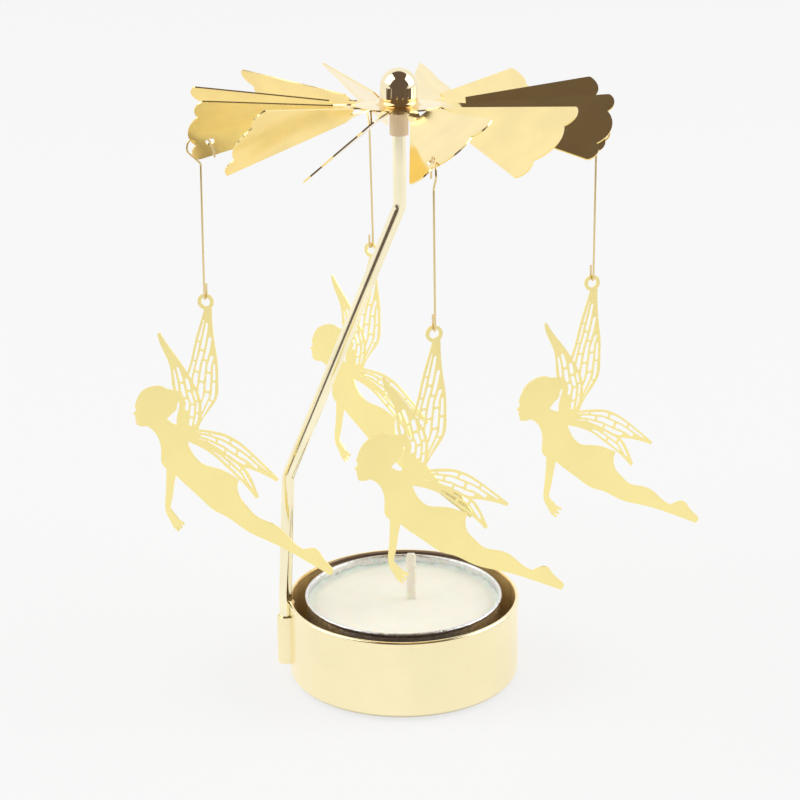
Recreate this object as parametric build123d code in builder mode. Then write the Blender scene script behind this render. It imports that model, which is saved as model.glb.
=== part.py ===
from build123d import *
import os
from math import cos, hypot, radians, sin, sqrt

# Candle carousel: a tealight in a pressed tin cup warms a twelve-blade fan, which turns on a needle
# and carries four flat fairies on wire hangers.
# Millimetres, +Z up. The origin is on the cup's axis, at the height of the feet. A front view looks
# along +Y, and azimuths are counted from +X, anticlockwise seen from above.

# Height of the needle's tip. The post's elbow and the collar lie below it by these drops.
needle_tip_height = 119.4
elbow_drop = 23.8
collar_drop = 10.0

# Pressed cup
cup_radius = 22.4
cup_wall = 0.45
cup_rim_height = 16.2
cup_corner_radius = 1.6
rim_bead_radius = 0.4
foot_height = 0.4
foot_radius = 1.7
foot_edge_radius = 0.2
foot_circle_radius = 17.0
foot_count = 3
foot_azimuth = 255

# Loop in the cup's wall that holds the post
loop_bottom = 3.6
loop_top = 13.4
post_fit = 0.05

# Post, in the upright plane of its azimuth
post_azimuth = 185.5
post_radius = 1.25
post_foot_reach = 23.1
post_bend_height = 17.8
post_knee_reach = 22.0
post_knee_height = 42.6
post_elbow_radius = 3.5
post_knee_radius = 3.5
post_foot_bend_radius = 10.0

# Collar and needle on top of the post
collar_radius = 1.75
collar_length = 4.1
collar_grip = 2.2
needle_grip = 1.2
needle_fit = 0.02
needle_neck_radius = 0.95
needle_neck_length = 0.8
needle_radius = 0.5
needle_point_length = 1.9
needle_flat_radius = 0.06

# Fan: how far it leans, and where its parts lie along its own axis, counted from the needle's tip
fan_lean = 6.4
tip_clearance = 0.1
hub_drop = 4.6
sheet_thickness = 0.3
hub_radius = 8.2
hub_hole_radius = 1.6
blade_count = 12
first_blade_azimuth = -18
blade_droop = 6.0
blade_twists = [33, 42, 38, 41, 45, 47, 41, 44, 46, 40, 37, 38]
blade_turns = [3, -2.5, 1, 0, -0.4, -1.5, -3, 1.5, 0, 0, 0, 0]
neck_width = 2.2
neck_offset = 0.5
neck_start = 7.8
blade_root_radius = 12.7
blade_root_high = 3.1
blade_root_low = 0.7
blade_shoulder_radius = 37.2
blade_notch_radius = 37.85
blade_lobe_radius = 38.6
blade_tip_radius = 39.6
blade_half_width = 9.0
blade_offset = 1.5
blade_corner_radius = 0.7
notch_share = 0.49
lobe_share = 0.75

# Domed cap, the flared ring under it and the bearing inside it
dome_radius = 3.5
dome_wall = 0.4
dome_center_drop = 0.95
ring_height = 1.25
ring_top_radius = 3.6
ring_flare_radius = 4.3
ring_bore_radius = 2.4
cap_fit = 0.04
bearing_height = 2.0
bearing_neck_radius = 1.5
bearing_mouth_radius = 1.3
bearing_seat_radius = 0.15
bearing_cone_height = 1.6

# Wire hangers, and the blades that they hang from. Each hole is near the blade's low notch, and each
# wire leans outwards down to the height of its fairy's ring.
hung_blades = {"right": 1, "back": 4, "left": 7, "front": 10}
wire_radius = 0.2
hole_radius = 0.9
hole_reach = 35.4
hole_offset = 2.2
ring_heights = {"right": 79.2, "back": 76.3, "left": 79.9, "front": 83.1}
hanger_leans = {"right": 1.4, "back": 1.4, "left": 1.75, "front": 1.4}
hook_bend_radius = 1.0
shank_bend_radius = 5.0
eye_bend_radius = 0.4
eye_height = 2.7
eye_gap = 0.25
eye_rest_gap = 0.05

# Hook of a hanger, from its free end to its shank: shares of the hook's size, outwards and upwards
# from the middle of the blade's hole
hook_size = 4.0
hook_shares = [
    (-0.20, -0.78), (-0.16, -0.40), (0.02, 0.00), (0.24, 0.30),
    (0.66, 0.36), (1.02, -0.04), (1.07, -0.42), (0.45, -1.03),
]

# Fairies, each in an upright plane turned from +X by its own angle, and tilted in that plane
fairy_turns = {"right": 20.6, "back": -33.0, "left": -15.5, "front": 16.4}
fairy_tilts = {"right": 0.0, "back": 0.0, "left": 0.0, "front": 1.0}
fairy_thickness = 0.35
fairy_drop = 52.8
hang_ring_radius = 1.55
hang_hole_radius = 0.9
vein_width = 0.34
wing_rim_width = 0.42
cell_slant = 0.12

# Tealight
tealight_radius = 19.25
tealight_bead_radius = 0.35
tealight_bead_overhang = 0.45
tealight_wall = 0.2
tealight_height = 16.1
tealight_corner_radius = 1.2
wax_depth_below_rim = 1.7
wax_meniscus = 0.5
wax_meniscus_width = 1.3
wax_gap = 0.02
wick_width = 1.9
wick_thickness = 1.1
wick_corner_radius = 0.4
wick_rise = 10.0
wick_offset = 1.55
sustainer_radius = 6.0
sustainer_thickness = 0.3
sustainer_neck_radius = 1.6
sustainer_neck_height = 4.5

# Cuts run past what they cut by this much
overrun = 1.0

# Outline of a fairy, in stretches that each start at the last point of the one before: shares of its
# drop from the ring's centre to its toe, towards its feet and upwards
figure_shares = {
    "hair": [
        (-0.137, -0.428), (-0.124, -0.412), (-0.120, -0.392), (-0.108, -0.376), (-0.116, -0.353),
        (-0.136, -0.342), (-0.156, -0.340), (-0.178, -0.332), (-0.202, -0.332), (-0.227, -0.340),
        (-0.250, -0.354), (-0.267, -0.377), (-0.279, -0.407),
    ],
    "face": [
        (-0.279, -0.407), (-0.280, -0.421), (-0.277, -0.430), (-0.288, -0.448), (-0.2795, -0.4535),
        (-0.283, -0.460), (-0.280, -0.4645), (-0.2815, -0.469), (-0.278, -0.474), (-0.279, -0.481),
        (-0.266, -0.490), (-0.241, -0.487),
    ],
    "front": [
        (-0.241, -0.487), (-0.208, -0.511), (-0.191, -0.547), (-0.188, -0.591), (-0.188, -0.624), (-0.171, -0.645),
    ],
    "arm front": [
        (-0.171, -0.645), (-0.173, -0.700), (-0.178, -0.755), (-0.181, -0.800), (-0.175, -0.826),
        (-0.163, -0.848), (-0.155, -0.868),
    ],
    "fingers": [
        (-0.155, -0.868), (-0.134, -0.889), (-0.129, -0.884), (-0.140, -0.868), (-0.122, -0.878),
        (-0.118, -0.872), (-0.132, -0.857), (-0.112, -0.862), (-0.110, -0.855), (-0.133, -0.840),
    ],
    "arm back": [
        (-0.133, -0.840), (-0.142, -0.826), (-0.155, -0.811), (-0.161, -0.798), (-0.156, -0.770),
        (-0.149, -0.735), (-0.142, -0.695), (-0.136, -0.667),
    ],
    "under": [
        (-0.136, -0.667), (-0.104, -0.697), (-0.047, -0.746), (0.015, -0.795), (0.049, -0.809),
        (0.121, -0.854), (0.225, -0.896), (0.345, -0.951), (0.439, -1.000),
    ],
    "foot": [
        (0.439, -1.000), (0.450, -0.989), (0.415, -0.939), (0.386, -0.903), (0.362, -0.903), (0.339, -0.911),
    ],
    "leg": [
        (0.339, -0.911), (0.297, -0.881), (0.250, -0.835), (0.208, -0.816), (0.165, -0.800),
        (0.131, -0.765), (0.104, -0.730), (0.096, -0.697), (0.104, -0.664),
    ],
    "back": [
        (0.104, -0.664), (0.078, -0.650), (0.044, -0.634), (0.006, -0.625), (-0.034, -0.615),
        (-0.062, -0.590), (-0.078, -0.564), (-0.089, -0.534),
    ],
    "shoulder": [(-0.089, -0.534), (-0.062, -0.512), (-0.050, -0.484), (-0.118, -0.477)],
    "nape": [(-0.118, -0.477), (-0.143, -0.470), (-0.163, -0.456), (-0.137, -0.428)],
}
straight_stretches = ["fingers", "shoulder", "nape"]

# Wings, from tip to root: the two long edges, the shares of the width where ribs part the columns of
# cells, how much further apart the ribs stand at the tip and the share of the length where that ends,
# and the shares of the length where each column's cells end. A later wing lies over the ones before.
wing_shares = {
    "upper": {
        "near": [
            (-0.004, -0.022), (-0.026, -0.092), (-0.046, -0.157), (-0.062, -0.223),
            (-0.083, -0.288), (-0.096, -0.354), (-0.100, -0.419), (-0.090, -0.485),
        ],
        "far": [
            (0.021, -0.020), (0.022, -0.092), (0.028, -0.157), (0.036, -0.223),
            (0.036, -0.288), (0.031, -0.354), (-0.006, -0.414), (-0.044, -0.482),
        ],
        "ribs": [0.0, 0.2, 0.4, 0.6, 0.8, 1.0],
        "spread": [1.2, 0.45],
        "ends": [
            [0.09, 0.27, 0.43, 0.60], [0.11, 0.34, 0.52, 0.70], [0.22, 0.42, 0.60, 0.78],
            [0.37, 0.52, 0.68, 0.86], [0.44, 0.59, 0.75, 0.91],
        ],
    },
    "small": {
        "near": [
            (-0.184, -0.133), (-0.170, -0.184), (-0.147, -0.235), (-0.138, -0.286),
            (-0.133, -0.337), (-0.112, -0.388), (-0.122, -0.439), (-0.118, -0.490),
        ],
        "far": [
            (-0.176, -0.129), (-0.143, -0.181), (-0.104, -0.233), (-0.071, -0.286),
            (-0.043, -0.337), (-0.031, -0.388), (-0.035, -0.439), (-0.052, -0.490),
        ],
        "ribs": [0.0, 0.25, 0.5, 0.75, 1.0],
        "spread": [1.0, 0.6],
        "ends": [
            [0.36, 0.60], [0.33, 0.50, 0.66, 0.80],
            [0.44, 0.58, 0.72, 0.86, 0.96], [0.56, 0.68, 0.81, 0.94],
        ],
    },
    "lowest": {
        "near": [
            (0.176, -0.722), (0.158, -0.675), (0.130, -0.622), (0.090, -0.585),
            (0.040, -0.553), (-0.015, -0.530), (-0.075, -0.515),
        ],
        "far": [
            (0.166, -0.729), (0.130, -0.685), (0.092, -0.648), (0.054, -0.615),
            (0.014, -0.580), (-0.032, -0.553), (-0.088, -0.533),
        ],
        "ribs": [0.0, 0.5, 1.0],
        "spread": [0.8, 0.3],
        "ends": [[0.12, 0.36, 0.60], [0.24, 0.48, 0.72]],
    },
    "lower": {
        "near": [
            (0.253, -0.647), (0.210, -0.606), (0.163, -0.563), (0.112, -0.521),
            (0.056, -0.494), (-0.004, -0.485), (-0.064, -0.483),
        ],
        "far": [
            (0.246, -0.656), (0.200, -0.634), (0.152, -0.618), (0.100, -0.604),
            (0.044, -0.566), (-0.012, -0.536), (-0.072, -0.522),
        ],
        "ribs": [0.0, 0.34, 0.67, 1.0],
        "spread": [1.2, 0.4],
        "ends": [[0.12, 0.36, 0.60, 0.82, 0.97], [0.26, 0.52, 0.74, 0.92], [0.40, 0.64, 0.84, 0.96]],
    },
}
cell_end_share = 0.4

os.makedirs("parts", exist_ok=True)


def save(piece, name):
    """Label a finished piece and write it."""
    piece.part.label = name
    export_step(piece.part, f"parts/{name}.step")


def section_plane(frame):
    """The plane through a frame's axis, with x outwards and y along the axis."""
    return Plane(origin=frame.origin, x_dir=frame.x_dir, z_dir=-frame.y_dir)


def turned_plane(azimuth, height):
    """A level plane at a height, with x pointing along an azimuth."""
    out = Vector(cos(radians(azimuth)), sin(radians(azimuth)), 0)
    return Plane(origin=(0, 0, height), x_dir=out, z_dir=(0, 0, 1))


# Base cup
floor_top = foot_height + cup_wall
cup_mid_radius = cup_radius - cup_wall / 2
loop_inner_radius = post_radius + post_fit
loop_outer_radius = loop_inner_radius + cup_wall
loop_reach = post_foot_reach - cup_mid_radius
window_reach = loop_reach + cup_wall
groove_height = cup_rim_height - loop_top
loop_height = loop_top - loop_bottom

with BuildPart() as base_cup:
    with BuildSketch(section_plane(Plane.XY)) as cup_section:
        with BuildLine():
            Polyline(
                (0, foot_height),
                (cup_radius, foot_height),
                (cup_radius, cup_rim_height),
                (cup_radius - cup_wall, cup_rim_height),
                (cup_radius - cup_wall, floor_top),
                (0, floor_top),
                close=True,
            )
        make_face()
        outer_corner = cup_section.vertices().sort_by_distance((cup_radius, foot_height))[0]
        fillet(outer_corner, cup_corner_radius)
        inner_corner = cup_section.vertices().sort_by_distance((cup_radius - cup_wall, floor_top))[0]
        fillet(inner_corner, cup_corner_radius - cup_wall)
        with Locations((cup_mid_radius, cup_rim_height)):
            Circle(rim_bead_radius)
    revolve(axis=Axis.Z)
    # Dimple feet, pressed down from inside
    with BuildSketch(Plane.XY):
        with PolarLocations(foot_circle_radius, foot_count, start_angle=foot_azimuth):
            Circle(foot_radius)
    extrude(amount=foot_height + cup_wall / 2)
    fillet(base_cup.edges().group_by(Axis.Z)[0], foot_edge_radius)
    with BuildSketch(Plane.XY.offset(cup_wall)):
        with PolarLocations(foot_circle_radius, foot_count, start_angle=foot_azimuth):
            Circle(foot_radius - cup_wall)
    extrude(amount=foot_height + overrun, mode=Mode.SUBTRACT)
    # Window in the wall behind the loop, and the way for the post above it
    with BuildSketch(turned_plane(post_azimuth, loop_bottom)):
        with Locations((post_foot_reach, 0)):
            Rectangle(2 * window_reach, 2 * loop_inner_radius)
    extrude(amount=loop_height, mode=Mode.SUBTRACT)
    with BuildSketch(turned_plane(post_azimuth, loop_top)):
        with Locations((post_foot_reach, 0)):
            Circle(loop_inner_radius)
    extrude(amount=groove_height + overrun, mode=Mode.SUBTRACT)
    # Wall pressed in round the post's inner side, from the loop up to the rim
    with BuildSketch(turned_plane(post_azimuth, loop_top)):
        with Locations((post_foot_reach, 0)):
            Circle(loop_outer_radius)
        Circle(cup_mid_radius, mode=Mode.INTERSECT)
        with Locations((post_foot_reach, 0)):
            Circle(loop_inner_radius, mode=Mode.SUBTRACT)
    extrude(amount=groove_height)
    # Wall pressed out round the post's outer side
    with BuildSketch(turned_plane(post_azimuth, loop_bottom)):
        with Locations((post_foot_reach, 0)):
            Circle(loop_outer_radius)
            Rectangle(loop_reach, 2 * loop_outer_radius, align=(Align.MAX, Align.CENTER))
            Circle(loop_inner_radius, mode=Mode.SUBTRACT)
            Rectangle(
                loop_outer_radius, 2 * loop_inner_radius, align=(Align.MAX, Align.CENTER), mode=Mode.SUBTRACT
            )
    extrude(amount=loop_height)
save(base_cup, "base_cup")


# Post: straight up out of the loop, a long lean over the candle, then upright at the middle
collar_bottom = needle_tip_height - collar_drop
with BuildPart() as post:
    with BuildLine(section_plane(turned_plane(post_azimuth, 0))) as post_path:
        FilletPolyline(
            (post_foot_reach, loop_bottom),
            (post_foot_reach, post_bend_height),
            (post_knee_reach, post_knee_height),
            (0, needle_tip_height - elbow_drop),
            (0, collar_bottom + collar_grip),
            radius=(post_foot_bend_radius, post_knee_radius, post_elbow_radius),
        )
    with BuildSketch(turned_plane(post_azimuth, loop_bottom)):
        with Locations((post_foot_reach, 0)):
            Circle(post_radius)
    sweep(path=post_path.line)
save(post, "post")


# Collar: a sleeve on the post's end, with the needle's foot in its top
collar_top = collar_bottom + collar_length
with BuildPart() as needle_collar:
    with BuildSketch(Plane.XY.offset(collar_bottom)):
        Circle(collar_radius)
    extrude(amount=collar_length)
    with BuildSketch(Plane.XY.offset(collar_bottom)):
        Circle(post_radius + needle_fit)
    extrude(amount=collar_grip, mode=Mode.SUBTRACT)
    with BuildSketch(Plane.XY.offset(collar_top)):
        Circle(needle_neck_radius + needle_fit)
    extrude(amount=-needle_grip, mode=Mode.SUBTRACT)
save(needle_collar, "needle_collar")

with BuildPart() as needle:
    with BuildSketch(section_plane(Plane.XY)):
        with BuildLine():
            Polyline(
                (0, collar_top - needle_grip),
                (needle_neck_radius, collar_top - needle_grip),
                (needle_neck_radius, collar_top + needle_neck_length),
                (needle_radius, collar_top + needle_neck_length),
                (needle_radius, needle_tip_height - needle_point_length),
                (needle_flat_radius, needle_tip_height),
                (0, needle_tip_height),
                close=True,
            )
        make_face()
    revolve(axis=Axis.Z)
save(needle, "needle")


# Fan: its own frame leans back about the needle's tip
lean = radians(fan_lean)
fan = Plane(origin=(0, 0, needle_tip_height), x_dir=(1, 0, 0), z_dir=(0, sin(lean), cos(lean)))
fan_axis = Axis(fan.origin, fan.z_dir)
hub_center = fan.origin - fan.z_dir * (hub_drop - sheet_thickness / 2)


def blade_directions(index):
    """Of one blade: level outwards, level sideways, outwards along its droop, and its upward normal."""
    azimuth = radians(first_blade_azimuth + index * 360 / blade_count + blade_turns[index])
    level_out = fan.x_dir * cos(azimuth) + fan.y_dir * sin(azimuth)
    level_side = fan.y_dir * cos(azimuth) - fan.x_dir * sin(azimuth)
    droop = radians(blade_droop)
    out = level_out * cos(droop) - fan.z_dir * sin(droop)
    up = fan.z_dir * cos(droop) + level_out * sin(droop)
    return level_out, level_side, out, up


def across_blade(index, share):
    """Direction across one blade, towards its high edge, after a share of its twist."""
    _, level_side, _, up = blade_directions(index)
    twist = radians(blade_twists[index]) * share
    return level_side * cos(twist) + up * sin(twist)


def blade_plane(index):
    """Middle plane of one blade's sheet: x outwards, y towards its high edge."""
    out = blade_directions(index)[2]
    return Plane(origin=hub_center, x_dir=out, z_dir=out.cross(across_blade(index, 1)))


def neck_section(center, across, along):
    """A strip of sheet, cut across the neck of a blade."""
    with BuildSketch(Plane(origin=center, x_dir=across, z_dir=along)) as section:
        Rectangle(neck_width, sheet_thickness)
    return section.sketch


def blade_neck(index):
    """Three sections of the neck that twists from the hub into one blade."""
    level_out, level_side, out, _ = blade_directions(index)
    start = hub_center + level_out * neck_start + level_side * neck_offset
    end = hub_center + out * blade_root_radius + across_blade(index, 1) * neck_offset
    middle = (start + end) / 2
    middle_out = (level_out + out).normalized()
    return [
        neck_section(start, level_side, level_out),
        neck_section(middle, across_blade(index, 1 / 2), middle_out),
        neck_section(end, across_blade(index, 1), out),
    ]


def blade_outline(holed):
    """Sheet outline of a blade, x outwards: straight edges that widen to a tip of three lobes."""
    high = blade_offset + blade_half_width
    low = blade_offset - blade_half_width
    high_notch = blade_offset + notch_share * blade_half_width
    low_notch = blade_offset - notch_share * blade_half_width
    high_lobe = blade_offset + lobe_share * blade_half_width
    low_lobe = blade_offset - lobe_share * blade_half_width
    with BuildSketch() as outline:
        with BuildLine():
            Polyline(
                (blade_shoulder_radius, low),
                (blade_root_radius, -blade_root_low),
                (blade_root_radius, blade_root_high),
                (blade_shoulder_radius, high),
            )
            ThreePointArc(
                (blade_shoulder_radius, high), (blade_lobe_radius, high_lobe), (blade_notch_radius, high_notch)
            )
            ThreePointArc(
                (blade_notch_radius, high_notch), (blade_tip_radius, blade_offset),
                (blade_notch_radius, low_notch)
            )
            ThreePointArc(
                (blade_notch_radius, low_notch), (blade_lobe_radius, low_lobe), (blade_shoulder_radius, low)
            )
        make_face()
        corners = outline.vertices().sort_by(Axis.Y)
        fillet([corners[0], corners[-1]], blade_corner_radius)
        if holed:
            with Locations((hole_reach, -hole_offset)):
                Circle(hole_radius, mode=Mode.SUBTRACT)
    return outline.sketch


with BuildPart() as rotor_fan:
    with BuildSketch(fan.offset(-hub_drop)):
        Circle(hub_radius)
        Circle(hub_hole_radius, mode=Mode.SUBTRACT)
    extrude(amount=sheet_thickness)
    for index in range(blade_count):
        loft(sections=blade_neck(index), ruled=True)
        with BuildSketch(blade_plane(index)):
            add(blade_outline(index in hung_blades.values()))
        extrude(amount=sheet_thickness / 2, both=True)
save(rotor_fan, "rotor_fan")


# Hub ring, flared towards the fan's disc
ring_bottom = sheet_thickness - hub_drop
ring_top = ring_bottom + ring_height
with BuildPart() as hub_ring:
    with BuildSketch(section_plane(fan)):
        with BuildLine():
            Line((ring_flare_radius, ring_bottom), (ring_bore_radius, ring_bottom))
            Line((ring_bore_radius, ring_bottom), (ring_bore_radius, ring_top))
            Line((ring_bore_radius, ring_top), (ring_top_radius, ring_top))
            ThreePointArc(
                (ring_top_radius, ring_top),
                (ring_top_radius + (ring_flare_radius - ring_top_radius) / 5, ring_bottom + ring_height / 3),
                (ring_flare_radius, ring_bottom),
            )
        make_face()
    revolve(axis=fan_axis)
save(hub_ring, "hub_ring")


# Domed cap: a short tube closed by a half sphere
dome_inner_radius = dome_radius - dome_wall
with BuildPart() as dome_cap:
    with BuildSketch(section_plane(fan)):
        with BuildLine():
            Polyline((dome_radius, -dome_center_drop), (dome_radius, ring_top), (dome_inner_radius, ring_top))
            Line((dome_inner_radius, ring_top), (dome_inner_radius, -dome_center_drop))
            CenterArc((0, -dome_center_drop), dome_inner_radius, 0, 90)
            Line((0, dome_inner_radius - dome_center_drop), (0, dome_radius - dome_center_drop))
            CenterArc((0, -dome_center_drop), dome_radius, 0, 90)
        make_face()
    revolve(axis=fan_axis)
save(dome_cap, "dome_cap")


# Bearing: a turned cup that carries the dome on its neck and sits on the needle's point
bearing_bottom = ring_top + cap_fit
bearing_radius = dome_inner_radius - cap_fit
bearing_shoulder = bearing_bottom + bearing_height
bearing_top = sqrt(dome_inner_radius**2 - bearing_neck_radius**2) - dome_center_drop - cap_fit
with BuildPart() as bearing_cup:
    with BuildSketch(section_plane(fan)):
        with BuildLine():
            Polyline(
                (bearing_mouth_radius, bearing_bottom),
                (bearing_radius, bearing_bottom),
                (bearing_radius, bearing_shoulder),
                (bearing_neck_radius, bearing_shoulder),
                (bearing_neck_radius, bearing_top),
                (0, bearing_top),
                (0, tip_clearance),
                (bearing_seat_radius, tip_clearance),
                (bearing_mouth_radius, tip_clearance - bearing_cone_height),
                close=True,
            )
        make_face()
    revolve(axis=fan_axis)
save(bearing_cup, "bearing_cup")


# Outline of the fairies, with the ring's centre at the origin
def stretch_points(shares):
    """Points of a stretch of outline, at size."""
    return [(x * fairy_drop, y * fairy_drop) for x, y in shares]


def edge_point(edge, share):
    """Point at a share of the way along an edge given by its points."""
    place = share * (len(edge) - 1)
    start = min(int(place), len(edge) - 2)
    part = place - start
    return Vector(edge[start]) * (1 - part) + Vector(edge[start + 1]) * part


def wing_point(wing, across, along):
    """Point of a wing at a share of its width and a share of its length."""
    near = edge_point(wing["near"], along)
    far = edge_point(wing["far"], along)
    return (near * (1 - across) + far * across) * fairy_drop


def cell_side(wing, rib, along, inwards):
    """Share of the wing's width where a cell's side lies, half a vein in from a rib or a rim's width in."""
    spread, spread_end = wing["spread"]
    share = min(1, rib * (1 + spread * max(0, 1 - along / spread_end)))
    width = (wing_point(wing, 1, along) - wing_point(wing, 0, along)).length
    inset = wing_rim_width if share in (0, 1) else vein_width / 2
    return share + inwards * inset / width


def cell_outline(wing, left, right, top, bottom):
    """Points along the two sides of one cell of a wing, and the points of its two round ends."""
    length = (wing_point(wing, 1 / 2, 1) - wing_point(wing, 1 / 2, 0)).length

    def side_points(along, slant):
        near = wing_point(wing, cell_side(wing, left, along, 1), along + slant)
        far = wing_point(wing, cell_side(wing, right, along, -1), along - slant)
        return near, far

    def end_inset(along):
        near, far = side_points(along, 0)
        return (vein_width / 2 + cell_end_share * (far - near).length) / length

    start = top + end_inset(top)
    end = bottom - end_inset(bottom)
    down = [start, (2 * start + end) / 3, (start + 2 * end) / 3, end]
    near_side, far_side = zip(*[side_points(along, cell_slant / length) for along in down])
    tips = []
    for near, far, way in ((near_side[0], far_side[0], -1), (near_side[-1], far_side[-1], 1)):
        tips.append((near + far) / 2 + (far - near).cross(Vector(0, 0, 1)) * way * cell_end_share)
    return near_side, far_side, tips


def wing_outline(wing):
    """Sheet outline of a whole wing."""
    with BuildSketch() as outline:
        with BuildLine():
            near = Spline(stretch_points(wing["near"]))
            far = Spline(stretch_points(wing["far"]))
            Line(near @ 0, far @ 0)
            Line(near @ 1, far @ 1)
        make_face()
    return outline.sketch


def veined_wing(wing):
    """A wing with its cells etched out between the rim, the ribs and the cross veins."""
    with BuildSketch() as veined:
        add(wing_outline(wing))
        for left, right, ends in zip(wing["ribs"], wing["ribs"][1:], wing["ends"]):
            for top, bottom in zip(ends, ends[1:]):
                near_side, far_side, (start, end) = cell_outline(wing, left, right, top, bottom)
                with BuildLine():
                    Spline(near_side)
                    ThreePointArc(near_side[-1], end, far_side[-1])
                    Spline(far_side)
                    ThreePointArc(near_side[0], start, far_side[0])
                make_face(mode=Mode.SUBTRACT)
    return veined.sketch


with BuildSketch() as fairy_outline:
    Circle(hang_ring_radius)
    for wing in wing_shares.values():
        add(wing_outline(wing), mode=Mode.SUBTRACT)
        add(veined_wing(wing))
    with BuildLine():
        for name, shares in figure_shares.items():
            if name in straight_stretches:
                Polyline(stretch_points(shares))
            else:
                Spline(stretch_points(shares))
    make_face()
    Circle(hang_hole_radius, mode=Mode.SUBTRACT)


# Hangers and fairies, one of each to a holed blade
eye_drop = hang_hole_radius - wire_radius - eye_rest_gap
leg_offset = fairy_thickness / 2 + eye_gap + wire_radius
hook_bends = [hook_bend_radius] * (len(hook_shares) - 1)
eye_bends = [shank_bend_radius, eye_bend_radius, eye_bend_radius]

for name, index in hung_blades.items():
    hole_center = blade_plane(index).from_local_coords((hole_reach, -hole_offset, 0))
    hole_distance = hypot(hole_center.X, hole_center.Y)
    out = Vector(hole_center.X / hole_distance, hole_center.Y / hole_distance, 0)
    up = Vector(0, 0, 1)
    ring_center = hole_center + out * hanger_leans[name]
    ring_center += up * (ring_heights[name] - hole_center.Z)
    turn = radians(fairy_turns[name])
    fairy_plane = Plane(origin=ring_center, x_dir=(cos(turn), sin(turn), 0), z_dir=(sin(turn), -cos(turn), 0))
    side = fairy_plane.z_dir if out.dot(fairy_plane.z_dir) > 0 else -fairy_plane.z_dir
    eye_bottom = ring_center + up * eye_drop

    hook = [hole_center + (out * x + up * z) * hook_size for x, z in hook_shares]
    eye = [
        eye_bottom + side * leg_offset + up * eye_height,
        eye_bottom + side * leg_offset,
        eye_bottom - side * leg_offset,
        eye_bottom - side * leg_offset + up * eye_height,
    ]
    with BuildPart() as hanger:
        with BuildLine() as wire_path:
            FilletPolyline(hook + eye, radius=hook_bends + eye_bends)
        with BuildSketch(Plane(origin=hook[0], z_dir=hook[1] - hook[0])):
            Circle(wire_radius)
        sweep(path=wire_path.line)
    save(hanger, f"hanger_{name}")

    with BuildPart() as fairy:
        with BuildSketch(fairy_plane):
            add(fairy_outline.sketch, rotation=fairy_tilts[name])
        extrude(amount=fairy_thickness / 2, both=True)
    save(fairy, f"fairy_{name}")


# Tealight: a thin aluminium cup with a rolled rim, standing on the cup's floor
tealight_top = floor_top + tealight_height
tealight_bead_height = tealight_top - tealight_bead_radius
tealight_wall_radius = tealight_radius - tealight_bead_overhang
tealight_inner_radius = tealight_wall_radius - tealight_wall
tealight_floor = floor_top + tealight_wall
with BuildPart() as tealight_cup:
    with BuildSketch(section_plane(Plane.XY)) as tealight_section:
        with BuildLine():
            Polyline(
                (0, floor_top),
                (tealight_wall_radius, floor_top),
                (tealight_wall_radius, tealight_bead_height),
                (tealight_inner_radius, tealight_bead_height),
                (tealight_inner_radius, tealight_floor),
                (0, tealight_floor),
                close=True,
            )
        make_face()
        outer_corner = tealight_section.vertices().sort_by_distance((tealight_wall_radius, floor_top))[0]
        fillet(outer_corner, tealight_corner_radius)
        inner_corner = tealight_section.vertices().sort_by_distance((tealight_inner_radius, tealight_floor))[0]
        fillet(inner_corner, tealight_corner_radius - tealight_wall)
        with Locations((tealight_radius - tealight_bead_radius, tealight_bead_height)):
            Circle(tealight_bead_radius)
    revolve(axis=Axis.Z)
save(tealight_cup, "tealight_cup")

def wick_plane(height):
    """A level plane at a height, with its origin on the wick's axis."""
    return Plane(origin=(wick_offset, 0, height))


# Wick plate: a small tin disc with a neck that grips the wick's foot
sustainer_top = tealight_floor + sustainer_thickness
wax_radius = tealight_inner_radius - wax_gap
wax_top = tealight_top - wax_depth_below_rim
with BuildPart() as wick_sustainer:
    with BuildSketch(wick_plane(tealight_floor)):
        Circle(sustainer_radius)
    extrude(amount=sustainer_thickness)
    with BuildSketch(wick_plane(sustainer_top)):
        Circle(sustainer_neck_radius)
    extrude(amount=sustainer_neck_height)
    with BuildSketch(wick_plane(sustainer_top)):
        RectangleRounded(wick_width + 2 * wax_gap, wick_thickness + 2 * wax_gap, wick_corner_radius + wax_gap)
    extrude(amount=sustainer_neck_height, mode=Mode.SUBTRACT)
save(wick_sustainer, "wick_sustainer")

with BuildPart() as tealight_wick:
    with BuildSketch(wick_plane(sustainer_top)):
        RectangleRounded(wick_width, wick_thickness, wick_corner_radius)
    extrude(amount=wax_top + wick_rise - sustainer_top)
save(tealight_wick, "tealight_wick")

with BuildPart() as tealight_wax:
    with BuildSketch(section_plane(Plane.XY)) as wax_section:
        with BuildLine():
            Line((0, wax_top), (0, tealight_floor))
            Line((0, tealight_floor), (wax_radius, tealight_floor))
            Line((wax_radius, tealight_floor), (wax_radius, wax_top + wax_meniscus))
            level = Line((0, wax_top), (wax_radius - wax_meniscus_width, wax_top))
            TangentArc(level @ 1, (wax_radius, wax_top + wax_meniscus), tangent=level % 1)
        make_face()
        foot = wax_section.vertices().sort_by_distance((wax_radius, tealight_floor))[0]
        fillet(foot, tealight_corner_radius - tealight_wall - wax_gap)
    revolve(axis=Axis.Z)
    with BuildSketch(wick_plane(tealight_floor)):
        Circle(sustainer_radius + wax_gap)
    extrude(amount=sustainer_thickness + wax_gap, mode=Mode.SUBTRACT)
    with BuildSketch(wick_plane(sustainer_top)):
        Circle(sustainer_neck_radius + wax_gap)
    extrude(amount=sustainer_neck_height + wax_gap, mode=Mode.SUBTRACT)
    with BuildSketch(wick_plane(sustainer_top)):
        RectangleRounded(wick_width + 2 * wax_gap, wick_thickness + 2 * wax_gap, wick_corner_radius + wax_gap)
    extrude(amount=wax_top - sustainer_top + overrun, mode=Mode.SUBTRACT)
save(tealight_wax, "tealight_wax")
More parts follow.
